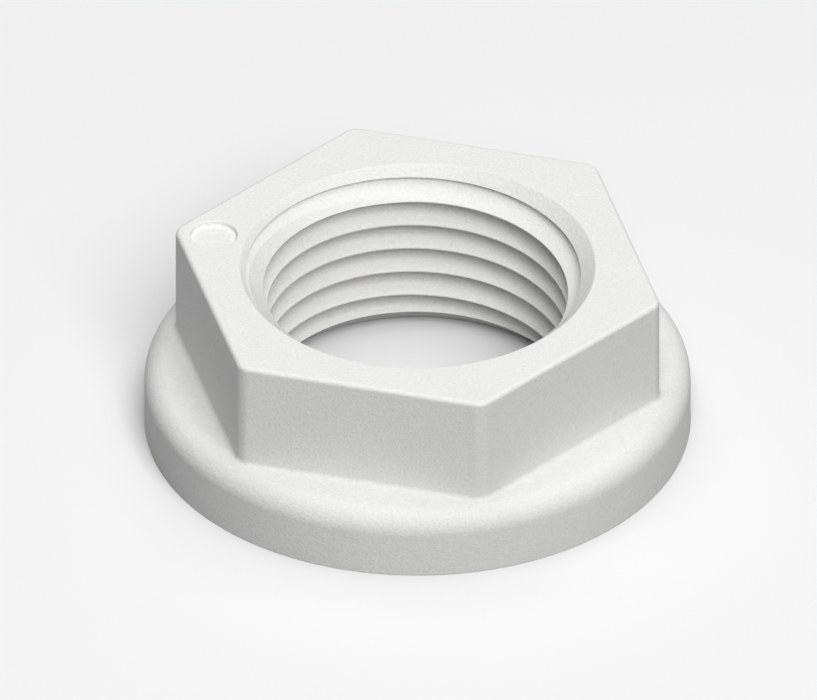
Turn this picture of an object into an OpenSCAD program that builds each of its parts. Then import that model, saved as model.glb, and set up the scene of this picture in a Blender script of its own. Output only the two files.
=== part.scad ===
// Thru-hull nut: a hexagon on a round flange, moulded in one piece, with a right-hand
// thread through its whole height. Sizes are in millimetres. The origin is the centre
// of the flat seat under the flange, and +Z runs up the axis of the thread. The bore is
// plain, at the diameter that clears the thread crests, until bore_form is threaded.

/* [Nut] */
// Height from the seat to the top of the hexagon
nut_h = 12; // [9:0.5:20]

/* [Flange] */
// Diameter of the flange
flange_d = 35; // [34:0.5:50]
// Thickness of the flange
flange_h = 4.5; // [2.5:0.25:6]
// Radius of the rounded rim on the upper side of the flange
rim_r = 1.5; // [0.5:0.1:2]

/* [Hexagon] */
// Width of the hexagon across its flats
across_flats = 28; // [27:0.5:29]
// Radius of the six upright corners
corner_r = 1; // [0.5:0.1:2.5]
// Radius of the small round along the top edge
top_edge_r = 0.3; // [0.1:0.05:0.45]
// Radius of the small hollow fillet where the hexagon stands on the flange
foot_fillet_r = 0.3; // [0.1:0.05:0.6]

/* [Thread] */
// Whether the bore is plain inside the crests, or has the helical groove cut into it
bore_form = "plain"; // ["plain", "threaded"]
// Diameter at the bottom of the groove
root_d = 22.3; // [20.5:0.1:23]
// Rise of the thread in one turn
pitch = 1.814; // [1.2:0.001:2.2]
// Width of the flat on each crest
crest_flat = 0.08; // [0.06:0.01:0.4]
// Angle between the two flanks of the groove
flank_angle = 60; // [55:1:70]

/* [Countersinks] */
// Diameter of the 45 degree countersink at each end of the bore
countersink_d = 22.8; // [21.5:0.1:23.6]

/* [Pocket] */
// Diameter of the shallow round pocket in the top face, by the corner on -X
pocket_d = 3; // [1:0.1:3.4]
// Depth of the pocket
pocket_h = 0.3; // [0.1:0.05:1]
// Width of the land between the pocket and the two flats beside it
pocket_land = 0.8; // [0.5:0.05:1.2]

/* [Hidden] */
$fn = 96;

// Hexagon: its upright corners are arcs about six centres, and its first corner is on +X
FLATS = 6;
side_angle = 360 / FLATS;
corner_at = (across_flats / 2 - corner_r) / cos(side_angle / 2);
corner_steps = 6;
edge_steps = 4;

// Thread: the groove is a V that runs on a little into the bore, clear of the next turn.
// Its root leaves the seat at thread_start, an angle round the axis from +X.
thread_start = 55;
groove_depth = (pitch - crest_flat) / 2 / tan(flank_angle / 2);
root_r = root_d / 2;
crest_r = root_r - groove_depth;
mouth_half = pitch / 2 - crest_flat / 4;
mouth_r = root_r - mouth_half / tan(flank_angle / 2);
steps_per_turn = 48;
first_step = -steps_per_turn;
last_step = ceil((nut_h / pitch + 2) * steps_per_turn);

countersink_h = countersink_d / 2 - crest_r;
pocket_at = (across_flats / 2 - pocket_land - pocket_d / 2) / cos(side_angle / 2);

// Flange: the radius at which its flat upper side turns into the rim, and how deep the
// foot of the hexagon is sunk into it, so that the two are joined all the way round
flat_r = flange_d / 2 - rim_r;
foot_sink = 0.005;

// How far each cutting solid runs past the face that it opens
overcut = 1;

// Closed solid through a row of rings that all have the same number of points, each
// listed anticlockwise as seen from the last ring's end
module skin(rings) {
    size = len(rings[0]);
    top = size * (len(rings) - 1);
    walls = [
        for (ring = [0 : len(rings) - 2], k = [0 : size - 1])
            let (a = size * ring + k, b = size * ring + (k + 1) % size)
            each [[a, b + size, b], [a, a + size, b + size]]
    ];
    bottom_cap = [for (k = [0 : size - 1]) k];
    top_cap = [for (k = [size - 1 : -1 : 0]) top + k];
    points = [for (ring = rings) each ring];
    polyhedron(points = points, faces = concat(walls, [bottom_cap, top_cap]));
}

module flange_section() {
    square([flange_d / 2, flange_h - rim_r]);
    square([flat_r, flange_h]);
    translate([flat_r, flange_h - rim_r]) circle(r = rim_r);
}

module flange() {
    rotate_extrude() flange_section();
}

// Outline of the hexagon with its corners rounded, moved outwards by spread, at height z
function hex_ring(spread, z) = [
    for (corner = [0 : FLATS - 1], k = [0 : corner_steps])
        let (middle = side_angle * corner, a = middle + side_angle * (k / corner_steps - 0.5))
        [
            corner_at * cos(middle) + (corner_r + spread) * cos(a),
            corner_at * sin(middle) + (corner_r + spread) * sin(a),
            z
        ]
];

// Height of the upper side of the flange at radius r: flat, then down round the rim
function flange_top(r) =
    let (past_flat = min(max(r - flat_r, 0), rim_r))
    flange_h - rim_r + sqrt(pow(rim_r, 2) - pow(past_flat, 2));

// The same outline laid on the flange, whose rim its corners just reach, and lifted by rise
function foot_ring(spread, rise) = [
    for (p = hex_ring(spread, 0)) [p.x, p.y, flange_top(norm(p)) - foot_sink + rise]
];

// From inside the flange up: the hollow fillet, the upright flats, then the rounded top edge
hex_rings = [
    hex_ring(foot_fillet_r, (flange_h - rim_r) / 2),
    for (k = [0 : edge_steps])
        let (a = 90 * k / edge_steps)
        foot_ring(foot_fillet_r * (1 - sin(a)), foot_fillet_r * (1 - cos(a))),
    for (k = [0 : edge_steps])
        let (a = 90 * k / edge_steps)
        hex_ring(-top_edge_r * (1 - cos(a)), nut_h - top_edge_r * (1 - sin(a)))
];

module hexagon() {
    skin(hex_rings);
}

module bore() {
    translate([0, 0, -overcut]) cylinder(r = crest_r, h = nut_h + 2 * overcut);
}

// Opens the bore at the seat: a cone up to the crests, and a short plug below the seat
module countersink() {
    cylinder(r1 = countersink_d / 2, r2 = crest_r - overcut, h = countersink_h + overcut);
    translate([0, 0, -overcut]) cylinder(d = countersink_d, h = overcut);
}

module pocket() {
    translate([-pocket_at, 0, nut_h - pocket_h]) cylinder(d = pocket_d, h = pocket_h + overcut);
}

// Section of the groove at one step round the helix: its root and the two sides of its mouth
function groove_ring(step) =
    let (a = 360 * step / steps_per_turn, z = pitch * (a - thread_start) / 360)
    [
        [root_r * cos(a), root_r * sin(a), z],
        [mouth_r * cos(a), mouth_r * sin(a), z - mouth_half],
        [mouth_r * cos(a), mouth_r * sin(a), z + mouth_half]
    ];

module thread_groove() {
    skin([for (step = [first_step : last_step]) groove_ring(step)]);
}

// The moulded blank, bored and countersunk from both faces
module blank() {
    difference() {
        union() {
            flange();
            hexagon();
        }
        bore();
        countersink();
        translate([0, 0, nut_h]) mirror([0, 0, 1]) countersink();
        pocket();
    }
}

module nut() {
    color("white")
        difference() {
            blank();
            if (bore_form == "threaded") thread_groove();
        }
}

nut();
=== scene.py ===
import math

import bmesh
import bpy
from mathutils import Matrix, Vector


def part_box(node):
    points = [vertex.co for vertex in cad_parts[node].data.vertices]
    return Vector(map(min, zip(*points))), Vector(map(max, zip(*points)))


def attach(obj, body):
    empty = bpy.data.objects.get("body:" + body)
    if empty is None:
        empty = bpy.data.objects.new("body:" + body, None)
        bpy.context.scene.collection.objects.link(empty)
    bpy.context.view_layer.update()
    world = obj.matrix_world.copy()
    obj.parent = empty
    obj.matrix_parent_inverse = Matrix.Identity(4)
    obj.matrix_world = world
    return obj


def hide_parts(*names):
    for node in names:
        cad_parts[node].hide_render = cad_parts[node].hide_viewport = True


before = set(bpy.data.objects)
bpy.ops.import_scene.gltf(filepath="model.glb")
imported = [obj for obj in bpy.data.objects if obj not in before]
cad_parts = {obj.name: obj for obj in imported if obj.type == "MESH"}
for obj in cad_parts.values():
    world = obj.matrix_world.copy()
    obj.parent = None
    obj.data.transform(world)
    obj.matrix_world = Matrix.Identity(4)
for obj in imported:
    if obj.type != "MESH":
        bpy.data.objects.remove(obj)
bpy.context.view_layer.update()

# The white thru-hull nut is one moulding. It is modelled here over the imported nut, with its
# thread and rounds smooth, and stands on a pale floor. Lengths are in metres.

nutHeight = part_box("nut")[1].z
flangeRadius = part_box("nut")[1].x
mm = 0.001
near = 0.01 * mm  # how close a point has to be to count as on a plane


# Helpers for working on one piece

def deselectAll():
    if bpy.context.object and bpy.context.object.mode != "OBJECT":
        bpy.ops.object.mode_set(mode="OBJECT")
    bpy.ops.object.select_all(action="DESELECT")


def startEditing(name):
    bpy.context.object.name = name
    bpy.context.object.data.name = name
    bpy.ops.object.transform_apply(location=True, rotation=True, scale=True)
    bpy.ops.object.mode_set(mode="EDIT")
    bpy.ops.mesh.select_all(action="DESELECT")


def stopEditing():
    # faces outwards, back in object mode
    bpy.ops.mesh.select_all(action="SELECT")
    bpy.ops.mesh.normals_make_consistent(inside=False)
    bpy.ops.mesh.select_all(action="DESELECT")
    bpy.ops.object.mode_set(mode="OBJECT")
    return bpy.context.object


def selectWhere(kind, test):
    # of the piece that is edited, only the faces or edges that pass the test
    bpy.ops.mesh.select_mode(type=kind)
    bpy.ops.mesh.select_all(action="DESELECT")
    mesh = bmesh.from_edit_mesh(bpy.context.object.data)
    for element in mesh.faces if kind == "FACE" else mesh.edges:
        element.select_set(test(element))
    bmesh.update_edit_mesh(bpy.context.object.data)


def atHeight(z):
    # a test for the faces or edges that lie level at one height
    return lambda element: all(abs(corner.co.z - z) < near for corner in element.verts)


def extrudeUp(rise, spread=1.0, centre=(0, 0, 0)):
    # the selected faces move along Z and grow or shrink about an upright axis
    bpy.ops.mesh.extrude_region_move(TRANSFORM_OT_translate={"value": (0, 0, rise)})
    bpy.ops.transform.resize(value=(spread, spread, 1), center_override=centre)


def combine(piece, makeOther, operation):
    # makes the other shape, then applies one exact boolean that uses it up
    deselectAll()
    other = makeOther()
    deselectAll()
    bpy.context.view_layer.objects.active = piece
    step = piece.modifiers.new(operation.lower(), "BOOLEAN")
    step.operation = operation
    step.solver = "EXACT"
    step.object = other
    bpy.ops.object.modifier_apply(modifier=step.name)
    bpy.data.objects.remove(other, do_unlink=True)


# The flange: a disc with a round rim above and a nearly sharp edge at the seat

flange = {
    "height": 4.5 * mm,
    "rimRadius": 1.5 * mm,
    "rimSteps": 16,
    "seatEdge": 0.06 * mm,
    "seatSteps": 2,
    "sides": 192,
}


def makeFlange():
    bpy.ops.mesh.primitive_cylinder_add(
        vertices=flange["sides"], radius=flangeRadius, depth=flange["height"],
        location=(0, 0, flange["height"] / 2))
    startEditing("flange")
    selectWhere("EDGE", atHeight(flange["height"]))
    bpy.ops.mesh.bevel(
        offset=flange["rimRadius"], offset_type="OFFSET", segments=flange["rimSteps"],
        profile=0.5, affect="EDGES")
    selectWhere("EDGE", atHeight(0))
    bpy.ops.mesh.bevel(
        offset=flange["seatEdge"], segments=flange["seatSteps"], profile=0.5, affect="EDGES")
    return stopEditing()


# The hexagon: one corner on +X, a hollow fillet at its foot and a small round at its top.
# Below the fillet a skirt slopes into the flange, which shows only where a corner
# reaches the rim.

hexagon = {
    "acrossFlats": 28 * mm,
    "cornerRadius": 1.0 * mm,
    "cornerSteps": 10,
    "footFillet": 0.3 * mm,
    "skirtWidth": 0.12 * mm,
    "skirtDrop": 0.06 * mm,
    "topRound": 0.3 * mm,
    "edgeSteps": 8,
}
halfCorner = math.radians(30)  # half the turn from one flat to the next


def insetAlong(profile):
    # one inset for each step of a profile of (distance inwards, height)
    for (inA, upA), (inB, upB) in zip(profile, profile[1:]):
        bpy.ops.mesh.inset(thickness=inB - inA, depth=upB - upA, use_even_offset=True)


def makeHexagon():
    steps = hexagon["edgeSteps"]
    fillet = hexagon["footFillet"]
    topRound = hexagon["topRound"]
    wide = hexagon["skirtWidth"]
    drop = hexagon["skirtDrop"]
    turns = [math.radians(90) * k / steps for k in range(steps + 1)]
    start = flange["height"] / 2
    bpy.ops.mesh.primitive_circle_add(
        vertices=6, radius=(hexagon["acrossFlats"] / 2 + fillet + wide) / math.cos(halfCorner),
        fill_type="NGON", location=(0, 0, start), rotation=(0, 0, halfCorner))
    startEditing("hexagon")
    bpy.ops.mesh.select_all(action="SELECT")
    bpy.ops.mesh.bevel(
        offset=(hexagon["cornerRadius"] + fillet + wide) * math.tan(halfCorner),
        offset_type="OFFSET", segments=hexagon["cornerSteps"], profile=0.5, affect="VERTICES")
    selectWhere("FACE", atHeight(start))
    extrudeUp(flange["height"] - drop - start)
    foot = [(wide + fillet * math.sin(a), drop + fillet * (1 - math.cos(a))) for a in turns]
    insetAlong([(0, 0)] + foot)
    extrudeUp(nutHeight - topRound - flange["height"] - fillet)
    insetAlong([(topRound * (1 - math.cos(a)), topRound * math.sin(a)) for a in turns])
    return stopEditing()


# The bore: the clear way between the thread crests, opened at each end by a 45 degree
# countersink whose mouth is a little rounded

bore = {
    "crestRadius": 9.65 * mm,
    "mouthRadius": 11.4 * mm,
    "mouthRound": 0.18 * mm,
    "mouthSteps": 5,
    "beyond": 1.0 * mm,  # how far the cutter runs past each face
    "sides": 192,
}


def makeBoreCutter():
    crest, mouth, edge = bore["crestRadius"], bore["mouthRadius"], bore["mouthRound"]
    slope = math.radians(45)
    turns = [slope * (1 - k / bore["mouthSteps"]) for k in range(bore["mouthSteps"] + 1)]
    profile = [(crest, mouth - crest)] + [
        (mouth + edge * (math.tan(slope / 2) - math.sin(a)), edge * (1 - math.cos(a)))
        for a in turns]  # radius, and depth below the face
    bpy.ops.mesh.primitive_cylinder_add(
        vertices=bore["sides"], radius=crest, depth=nutHeight - 2 * (mouth - crest),
        location=(0, 0, nutHeight / 2))
    startEditing("boreCutter")
    for side, end in ((1, nutHeight - mouth + crest), (-1, mouth - crest)):
        selectWhere("FACE", atHeight(end))
        for (inner, low), (outer, high) in zip(profile, profile[1:]):
            extrudeUp(side * (low - high), outer / inner)
        extrudeUp(side * bore["beyond"])
    return stopEditing()


# The thread: a 60 degree groove is one triangle screwed up the axis

thread = {
    "pitch": 1.814 * mm,
    "crestFlat": 0.08 * mm,
    "startAngle": math.radians(55),  # where the bottom of the groove leaves the seat
    "stepsPerTurn": 96,
    "spareTurns": 2,  # one below the seat and one above the top
}


def makeThreadCutter():
    pitch, steps = thread["pitch"], thread["stepsPerTurn"]
    halfAngle = math.radians(30)
    depth = (pitch - thread["crestFlat"]) / 2 / math.tan(halfAngle)
    rootRadius = bore["crestRadius"] + depth
    side = pitch - thread["crestFlat"] / 2  # longer than the mouth, to run on into the bore
    middle = side / math.sqrt(3)
    low = -pitch * thread["startAngle"] / math.radians(360) - pitch
    bpy.ops.mesh.primitive_circle_add(
        vertices=3, radius=middle, location=(rootRadius - middle, 0, low),
        rotation=(math.radians(90), math.radians(90), 0))
    startEditing("threadCutter")
    bpy.ops.object.mode_set(mode="OBJECT")
    cutter = bpy.context.object
    screw = cutter.modifiers.new("screw", "SCREW")
    screw.axis = "Z"
    screw.angle = math.radians(360)
    screw.screw_offset = pitch
    screw.iterations = math.ceil(nutHeight / pitch) + thread["spareTurns"]
    screw.steps = steps
    screw.render_steps = steps
    screw.use_smooth_shade = False
    bpy.ops.object.modifier_apply(modifier=screw.name)
    bpy.ops.object.mode_set(mode="EDIT")
    bpy.ops.mesh.select_all(action="SELECT")
    bpy.ops.mesh.fill_holes(sides=3)
    return stopEditing()


# The shallow round pocket in the top face, by the corner on -X, with a flat floor

pocket = {
    "radius": 1.5 * mm,
    "depth": 0.3 * mm,
    "land": 0.8 * mm,  # between the pocket and the two flats beside it
    "edgeRound": 0.08 * mm,
    "edgeSteps": 5,
    "beyond": 0.5 * mm,  # how far the cutter runs past the face
    "sides": 96,
}


def makePocketCutter():
    radius, edge, steps = pocket["radius"], pocket["edgeRound"], pocket["edgeSteps"]
    fromAxis = (hexagon["acrossFlats"] / 2 - pocket["land"] - radius) / math.cos(halfCorner)
    wall = pocket["depth"] - edge
    bpy.ops.mesh.primitive_cylinder_add(
        vertices=pocket["sides"], radius=radius, depth=wall,
        location=(-fromAxis, 0, nutHeight - edge - wall / 2))
    startEditing("pocketCutter")
    selectWhere("EDGE", atHeight(nutHeight - pocket["depth"]))
    bpy.ops.mesh.bevel(offset=edge, segments=steps, profile=0.5, affect="EDGES")
    selectWhere("FACE", atHeight(nutHeight - edge))
    turns = [math.radians(90) * k / steps for k in range(steps + 1)]
    profile = [(radius + edge * (1 - math.cos(a)), edge * math.sin(a)) for a in turns]
    for (inner, low), (outer, high) in zip(profile, profile[1:]):
        extrudeUp(high - low, outer / inner, (-fromAxis, 0, 0))
    extrudeUp(pocket["beyond"])
    return stopEditing()


# Rounds are shaded smooth. Inside the bore the angles that count as edges are finer, so
# that the line where the groove runs out through the countersink stays crisp.

finishing = {
    "mergeWithin": 0.004 * mm,  # corners that the cuts leave closer than this are joined
    "smoothAngle": math.radians(32),
    "boreAngle": math.radians(9),
    "boreReach": 11.3 * mm,  # how far from the axis the finer angle holds
    "weight": 50,  # how much large faces even out the shading of the rounds beside them
}


def mergeCorners():
    bpy.ops.object.mode_set(mode="EDIT")
    bpy.ops.mesh.select_all(action="SELECT")
    bpy.ops.mesh.remove_doubles(threshold=finishing["mergeWithin"])
    bpy.ops.mesh.dissolve_degenerate(threshold=finishing["mergeWithin"])
    stopEditing()


def isBoreEdge(edge):
    inside = all(corner.co.xy.length < finishing["boreReach"] for corner in edge.verts)
    return inside and edge.calc_face_angle(0) > finishing["boreAngle"]


def markBoreEdges():
    bpy.ops.object.mode_set(mode="EDIT")
    selectWhere("EDGE", isBoreEdge)
    bpy.ops.mesh.mark_sharp()
    bpy.ops.mesh.select_all(action="DESELECT")
    bpy.ops.object.mode_set(mode="OBJECT")


def makeNut():
    deselectAll()
    piece = makeFlange()
    print("flange made")
    combine(piece, makeHexagon, "UNION")
    print("hexagon joined to the flange")
    for makeCutter in (makeBoreCutter, makePocketCutter, makeThreadCutter):
        combine(piece, makeCutter, "DIFFERENCE")
    print("bore, pocket and thread cut:", len(piece.data.polygons), "faces")
    piece.name = "threadedNut"
    piece.data.name = "threadedNut"
    deselectAll()
    piece.select_set(True)
    bpy.context.view_layer.objects.active = piece
    mergeCorners()
    bpy.ops.object.shade_smooth_by_angle(angle=finishing["smoothAngle"])
    markBoreEdges()
    even = piece.modifiers.new("evenNormals", "WEIGHTED_NORMAL")
    even.keep_sharp = True
    even.weight = finishing["weight"]
    bpy.ops.object.modifier_apply(modifier=even.name)
    print("corners merged and rounds shaded smooth:", len(piece.data.polygons), "faces")
    return piece


# Shader arithmetic: a Socket is one output of a node, and sums on it add Math nodes

class Socket:
    def __init__(self, tree, output=None):
        self.tree = tree
        self.output = output

    def node(self, kind, settings=None, values=None, pick=0):
        # a new node: its settings, the values or links of its sockets, the output to return
        made = self.tree.nodes.new(kind)
        for name, value in (settings or {}).items():
            setattr(made, name, value)
        for name, value in (values or {}).items():
            if isinstance(value, Socket):
                self.tree.links.new(value.output, made.inputs[name])
            else:
                made.inputs[name].default_value = value
        return Socket(self.tree, made.outputs[pick] if made.outputs else None)

    def maths(self, operation, first, second):
        return self.node("ShaderNodeMath", {"operation": operation}, {0: first, 1: second})

    def between(self, first, second):
        # a colour: the first where this socket is 0, the second where it is 1
        return self.node("ShaderNodeMix", {"data_type": "RGBA"}, {0: self, 6: first, 7: second}, 2)

    def __add__(self, other):
        return self.maths("ADD", self, other)

    def __radd__(self, other):
        return self.maths("ADD", other, self)

    def __sub__(self, other):
        return self.maths("SUBTRACT", self, other)

    def __rsub__(self, other):
        return self.maths("SUBTRACT", other, self)

    def __mul__(self, other):
        return self.maths("MULTIPLY", self, other)

    def __rmul__(self, other):
        return self.maths("MULTIPLY", other, self)


def newMaterial(name):
    # an empty material, and the Object coordinates as the Socket to start from
    material = bpy.data.materials.new(name)
    material.use_nodes = True
    material.node_tree.nodes.clear()
    return material, Socket(material.node_tree).node("ShaderNodeTexCoord", pick="Object")


def finishMaterial(place, values):
    # the shader, with the values or links of its sockets, wired to the output
    shader = place.node("ShaderNodeBsdfPrincipled", values=values)
    place.node("ShaderNodeOutputMaterial", values={"Surface": shader})


# The plastic: the colour wavers softly in clouds, and a fine grain of two sizes speckles
# it, lifts the surface and varies the gloss

whitePlastic = {
    "pale": (0.90, 0.90, 0.89, 1),
    "deep": (0.80, 0.80, 0.79, 1),
    "cloudShare": 0.5,  # how much the clouds and the grain move the colour
    "grainShare": 3.0,
    "roughness": 0.55,
    "roughnessSwing": 0.12,
    "ior": 1.5,
    "specular": 0.3,
    "cloudSize": 4 * mm,
    "cloudDetail": 3,
    "grainSize": 0.20 * mm,
    "fineGrainSize": 0.09 * mm,
    "fineGrainPart": 0.4,
    "grainDetail": 2,
    "noiseRoughness": 0.55,
    "grainHeight": 0.060 * mm,
    "grainStrength": 1.0,
}


def makeWhitePlastic():
    look = whitePlastic
    material, place = newMaterial("whiteMouldedPlastic")

    def noise(size, detail):
        return place.node("ShaderNodeTexNoise", {"noise_dimensions": "3D"}, {
            "Vector": place, "Scale": 1 / size, "Detail": detail,
            "Roughness": look["noiseRoughness"]})

    fine = look["fineGrainPart"]
    clouds = noise(look["cloudSize"], look["cloudDetail"])
    coarseGrain = noise(look["grainSize"], look["grainDetail"])
    fineGrain = noise(look["fineGrainSize"], look["grainDetail"])
    grain = (1 - fine) * coarseGrain + fine * fineGrain
    tone = 0.5 + look["cloudShare"] * (clouds - 0.5) + look["grainShare"] * (grain - 0.5)
    bump = place.node("ShaderNodeBump", values={
        "Height": grain, "Strength": look["grainStrength"], "Distance": look["grainHeight"]})
    finishMaterial(place, {
        "Base Color": tone.between(look["deep"], look["pale"]),
        "Roughness": look["roughness"] + look["roughnessSwing"] * (grain - 0.5),
        "Normal": bump,
        "IOR": look["ior"],
        "Specular IOR Level": look["specular"],
    })
    return material


# The floor shows pale to the camera and in gloss, and throws back less light than that

stage = {
    "floorSeen": (0.875, 0.875, 0.875, 1),
    "floorBounce": (0.30, 0.30, 0.30, 1),
    "floorRoughness": 0.9,
    "floorSpecular": 0.0,
    "floorSize": 3.0,
    "skyLevel": 0.07,
}


def makeFloor():
    deselectAll()
    bpy.ops.mesh.primitive_plane_add(size=stage["floorSize"], location=(0, 0, 0))
    floor = bpy.context.object
    floor.name = "floor"
    material, place = newMaterial("paleFloor")
    seen = place.node("ShaderNodeLightPath", pick="Is Camera Ray")
    for name in ("Is Glossy Ray", "Is Transmission Ray"):
        seen = place.maths("MAXIMUM", seen, place.node("ShaderNodeLightPath", pick=name))
    finishMaterial(place, {
        "Base Color": seen.between(stage["floorBounce"], stage["floorSeen"]),
        "Roughness": stage["floorRoughness"],
        "Specular IOR Level": stage["floorSpecular"],
    })
    floor.data.materials.append(material)


# Each lamp: azimuth and elevation in degrees as seen from the nut, distance and size in
# metres, and power in watts

lamps = {
    "key": {"azimuth": -60, "elevation": 48, "distance": 1.2, "size": 0.7, "power": 10.35},
    "overhead": {"azimuth": 100, "elevation": 80, "distance": 1.2, "size": 1.2, "power": 8.9},
}


def direction(azimuth, elevation):
    a = math.radians(azimuth)
    e = math.radians(elevation)
    return Vector((math.cos(a) * math.cos(e), math.sin(a) * math.cos(e), math.sin(e)))


def makeLamps():
    for name, lamp in lamps.items():
        towards = direction(lamp["azimuth"], lamp["elevation"])
        bpy.ops.object.light_add(type="AREA", location=towards * lamp["distance"])
        light = bpy.context.object
        light.name = name
        light.data.size = lamp["size"]
        light.data.energy = lamp["power"]
        light.rotation_euler = towards.to_track_quat("Z", "Y").to_euler()
    world = bpy.data.worlds.new("studio")
    world.use_nodes = True
    background = world.node_tree.nodes["Background"]
    background.inputs["Color"].default_value = (1, 1, 1, 1)
    background.inputs["Strength"].default_value = stage["skyLevel"]
    bpy.context.scene.world = world


# The view is square on, with no perspective, 35 degrees down from the level

view = {
    "azimuth": -75,
    "elevation": 35,
    "width": 52.34 * mm,
    "offRight": 0.577 * mm,  # from the middle of the picture to the middle of the top face
    "offUp": 5.407 * mm,
    "distance": 0.4,
}


def makeCamera():
    azimuth = math.radians(view["azimuth"])
    back = direction(view["azimuth"], view["elevation"])
    right = Vector((-math.sin(azimuth), math.cos(azimuth), 0))
    up = back.cross(right)
    aim = Vector((0, 0, nutHeight)) - view["offRight"] * right - view["offUp"] * up
    bpy.ops.object.camera_add(
        location=aim + back * view["distance"], rotation=back.to_track_quat("Z", "Y").to_euler())
    camera = bpy.context.object
    camera.data.type = "ORTHO"
    camera.data.ortho_scale = view["width"]
    bpy.context.scene.camera = camera


makeCamera()
nut = makeNut()
nut.data.materials.clear()
nut.data.materials.append(makeWhitePlastic())
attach(nut, "root")
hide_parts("nut")
makeFloor()
makeLamps()
bpy.context.scene.view_settings.view_transform = "Standard"
print("floor, lamps and camera set")
